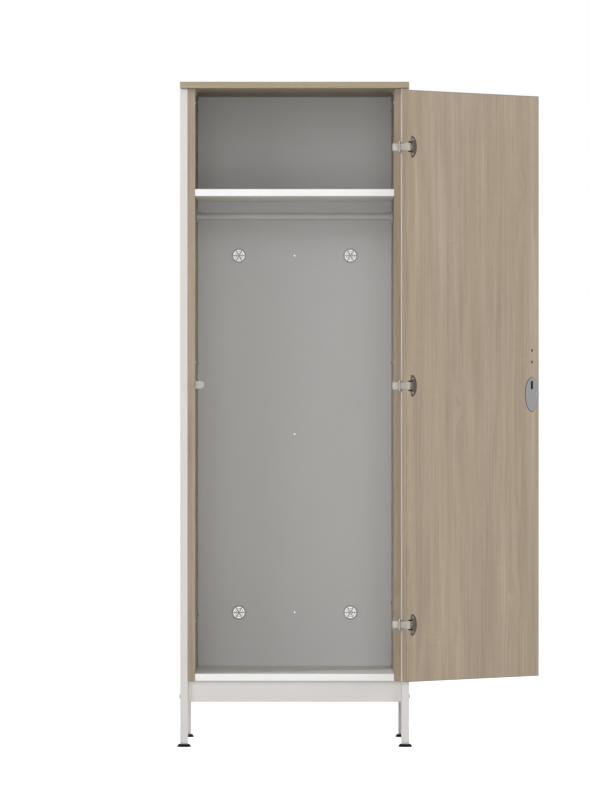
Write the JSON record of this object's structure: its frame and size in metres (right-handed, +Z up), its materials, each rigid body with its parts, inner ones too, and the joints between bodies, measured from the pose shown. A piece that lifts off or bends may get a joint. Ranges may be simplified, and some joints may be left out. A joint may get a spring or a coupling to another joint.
{
  "type": "wardrobe",
  "caption": "Tall wardrobe with a hinged door, shelf and hanging rail, on a square steel-tube frame with levelling feet; the door stands open.",
  "frame": {"origin": "middle of the bounding box's bottom, on the floor, with the door open as stored", "axes": "+Z up, +Y from the open front to the back, +X to the side the door hangs on"},
  "size_m": [0.9932, 0.6308, 1.8],
  "materials": {
    "painted_tube": "light grey powder coat, satin",
    "oak_laminate": "pale oak laminate, matt, upright grain",
    "white_laminate": "white laminate, matt",
    "vent_plastic": "white moulded plastic",
    "grey_fitting": "mid grey paint, satin",
    "insert_plastic": "light grey moulded plastic",
    "foot_plastic": "black moulded plastic",
    "plated_steel": "nickel-plated steel",
    "dark_plated_steel": "dark nickel-plated steel"
  },
  "bodies": {
    "cabinet": {"back_panel": "white_laminate", "bottom_panel": "white_laminate", "corner_bracket_front_left": "plated_steel", "corner_bracket_front_right": "plated_steel", "corner_bracket_rear_left": "plated_steel", "corner_bracket_rear_right": "plated_steel", "frame_bolt_front_left": "painted_tube", "frame_bolt_front_right": "painted_tube", "frame_bolt_rear_left": "painted_tube", "frame_bolt_rear_right": "painted_tube", "front_apron": "painted_tube", "hanging_rail": "plated_steel", "hinge_frame_leaf_lower": "plated_steel", "hinge_frame_leaf_middle": "plated_steel", "hinge_frame_leaf_upper": "plated_steel", "hinge_pin_lower": "plated_steel", "hinge_pin_middle": "plated_steel", "hinge_pin_upper": "plated_steel", "lock_strike": "plated_steel", "panel_bolt_left_lower": "plated_steel", "panel_bolt_left_middle": "plated_steel", "panel_bolt_left_upper": "plated_steel", "panel_bolt_right_lower": "plated_steel", "panel_bolt_right_middle": "plated_steel", "panel_bolt_right_upper": "plated_steel", "rail_socket_left": "grey_fitting", "rail_socket_right": "grey_fitting", "rear_apron": "painted_tube", "shelf": "white_laminate", "side_panel_left": "oak_laminate", "side_panel_right": "oak_laminate", "top_panel": "oak_laminate", "tube_insert_front_left": "insert_plastic", "tube_insert_front_right": "insert_plastic", "tube_insert_rear_left": "insert_plastic", "tube_insert_rear_right": "insert_plastic", "upright_front_left": "painted_tube", "upright_front_right": "painted_tube", "upright_rear_left": "painted_tube", "upright_rear_right": "painted_tube", "vent_lower_left": "vent_plastic", "vent_lower_right": "vent_plastic", "vent_upper_left": "vent_plastic", "vent_upper_right": "vent_plastic"},
    "door": {"door_panel": "oak_laminate", "lock_cover": "grey_fitting", "lock_rose": "grey_fitting", "door_handle": "plated_steel", "handle_screw_lower": "dark_plated_steel", "handle_screw_upper": "dark_plated_steel", "hinge_door_leaf_lower": "dark_plated_steel", "hinge_door_leaf_middle": "dark_plated_steel", "hinge_door_leaf_upper": "dark_plated_steel"},
    "lock": {"lock_cam": "plated_steel", "lock_knob": "plated_steel"},
    "foot_front_left": {"levelling_foot_front_left": "foot_plastic"},
    "foot_front_right": {"levelling_foot_front_right": "foot_plastic"},
    "foot_rear_left": {"levelling_foot_rear_left": "foot_plastic"},
    "foot_rear_right": {"levelling_foot_rear_right": "foot_plastic"}
  },
  "joints": [
    {"name": "door_swing", "type": "hinge", "parent": "cabinet", "child": "door", "pos_m": [0.10615, -0.29947, 0.9776], "axis": [0, 0, 1], "range_deg": [-229.6, 6]},
    {"name": "lock_turn", "type": "hinge", "parent": "door", "child": "lock", "pos_m": [0.47638, 0.09637, 0.9545], "axis": [-0.7615, 0.6481, 0], "range_deg": [0, 32]},
    {"name": "foot_height_front_left", "type": "slide", "parent": "cabinet", "child": "foot_front_left", "axis": [0, 0, -1], "range_m": [0, 0.012]},
    {"name": "foot_height_front_right", "type": "slide", "parent": "cabinet", "child": "foot_front_right", "axis": [0, 0, -1], "range_m": [0, 0.012]},
    {"name": "foot_height_rear_left", "type": "slide", "parent": "cabinet", "child": "foot_rear_left", "axis": [0, 0, -1], "range_m": [0, 0.012]},
    {"name": "foot_height_rear_right", "type": "slide", "parent": "cabinet", "child": "foot_rear_right", "axis": [0, 0, -1], "range_m": [0, 0.012]}
  ]
}
